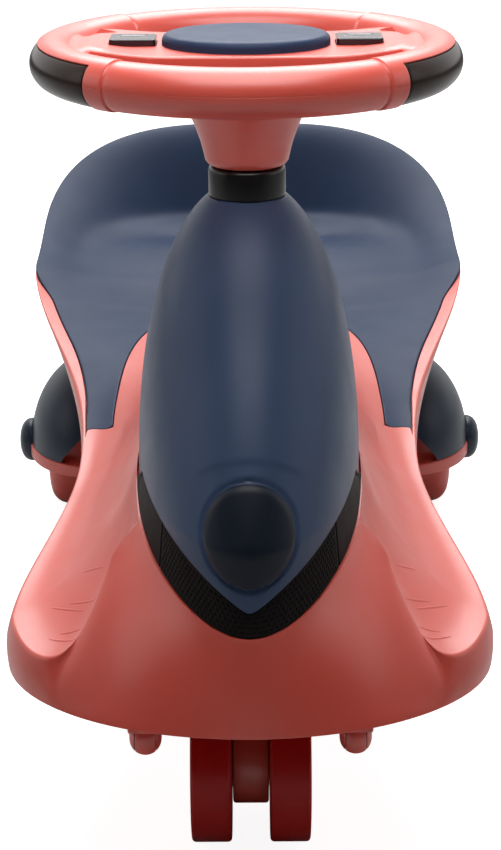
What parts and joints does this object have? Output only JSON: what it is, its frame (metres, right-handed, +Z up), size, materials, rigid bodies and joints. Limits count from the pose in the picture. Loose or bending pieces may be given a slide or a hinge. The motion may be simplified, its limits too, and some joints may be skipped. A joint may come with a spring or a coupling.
{
  "type": "wiggle car",
  "caption": "Twist ride-on car: scooped plastic body with bucket seat, tall nose hood, flat steering wheel on a vertical column and a leading caster.",
  "frame": {"origin": "centre of the overall box on the floor", "axes": "+Z up, the car's nose points to -Y, +X is the right-hand side in a view from the front"},
  "size_m": [0.357, 0.8, 0.4305],
  "materials": {
    "coral_plastic": "satin moulded polypropylene",
    "navy_plastic": "satin moulded polypropylene",
    "black_plastic": "gloss",
    "dark_red_tread": "satin soft tread",
    "steel": "zinc plated",
    "nylon": "natural",
    "circuit_board": "solder mask"
  },
  "bodies": {
    "chassis": {"body_shell": "coral_plastic", "seat_panel": "navy_plastic", "console_hood": "navy_plastic", "grille_band": "black_plastic", "nose_disc": "navy_plastic", "column_collar": "black_plastic", "column_sleeve": "black_plastic", "lower_bush": "nylon", "axle_carrier": "coral_plastic", "rear_axle": "steel", "rear_nuts": "steel", "fender_left": "navy_plastic", "fender_right": "navy_plastic", "axle_cap_left": "navy_plastic", "axle_cap_right": "navy_plastic", "roller_bracket_left": "coral_plastic", "roller_bracket_right": "coral_plastic", "roller_pins": "steel"},
    "steering": {"wheel_upper": "coral_plastic", "wheel_lower": "coral_plastic", "grip_left": "black_plastic", "grip_right": "black_plastic", "hub_pad": "navy_plastic", "sound_board": "circuit_board", "speaker": "black_plastic", "battery_cells": "steel", "battery_door": "coral_plastic", "wheel_screws": "steel", "steering_shaft": "steel", "wheel_bolt": "steel", "caster_fork": "coral_plastic", "fork_bolt": "steel", "front_axle": "steel", "front_caps": "black_plastic"},
    "sound_button_left": {"button_left": "black_plastic"},
    "sound_button_right": {"button_right": "black_plastic"},
    "front_wheel_left": {"front_tyre_left": "dark_red_tread", "front_hub_left": "coral_plastic", "front_bushes_left": "nylon"},
    "rear_wheel_left": {"rear_tyre_left": "coral_plastic", "rear_hub_left": "coral_plastic", "rear_bushes_left": "nylon"},
    "bumper_roller_left": {"roller_left": "coral_plastic"},
    "front_wheel_right": {"front_tyre_right": "dark_red_tread", "front_hub_right": "coral_plastic", "front_bushes_right": "nylon"},
    "rear_wheel_right": {"rear_tyre_right": "coral_plastic", "rear_hub_right": "coral_plastic", "rear_bushes_right": "nylon"},
    "bumper_roller_right": {"roller_right": "coral_plastic"}
  },
  "joints": [
    {"name": "steering_turn", "type": "hinge", "parent": "chassis", "child": "steering", "pos_m": [0, -0.23, 0.25], "axis": [0, 0, 1], "continuous": true},
    {"name": "front_wheel_left_spin", "type": "hinge", "parent": "steering", "child": "front_wheel_left", "pos_m": [0, -0.32, 0.047], "axis": [1, 0, 0], "continuous": true},
    {"name": "rear_wheel_left_spin", "type": "hinge", "parent": "chassis", "child": "rear_wheel_left", "pos_m": [0, 0.195, 0.05], "axis": [1, 0, 0], "continuous": true},
    {"name": "bumper_roller_left_spin", "type": "hinge", "parent": "chassis", "child": "bumper_roller_left", "pos_m": [-0.055, -0.37, 0.0865], "axis": [1, 0, 0], "continuous": true},
    {"name": "sound_button_left_press", "type": "slide", "parent": "steering", "child": "sound_button_left", "axis": [0, 0, -1], "range_m": [0, 0.0016], "stiffness_N_per_m": 600},
    {"name": "front_wheel_right_spin", "type": "hinge", "parent": "steering", "child": "front_wheel_right", "pos_m": [0, -0.32, 0.047], "axis": [1, 0, 0], "continuous": true},
    {"name": "rear_wheel_right_spin", "type": "hinge", "parent": "chassis", "child": "rear_wheel_right", "pos_m": [0, 0.195, 0.05], "axis": [1, 0, 0], "continuous": true},
    {"name": "bumper_roller_right_spin", "type": "hinge", "parent": "chassis", "child": "bumper_roller_right", "pos_m": [0.055, -0.37, 0.0865], "axis": [1, 0, 0], "continuous": true},
    {"name": "sound_button_right_press", "type": "slide", "parent": "steering", "child": "sound_button_right", "axis": [0, 0, -1], "range_m": [0, 0.0016], "stiffness_N_per_m": 600}
  ]
}
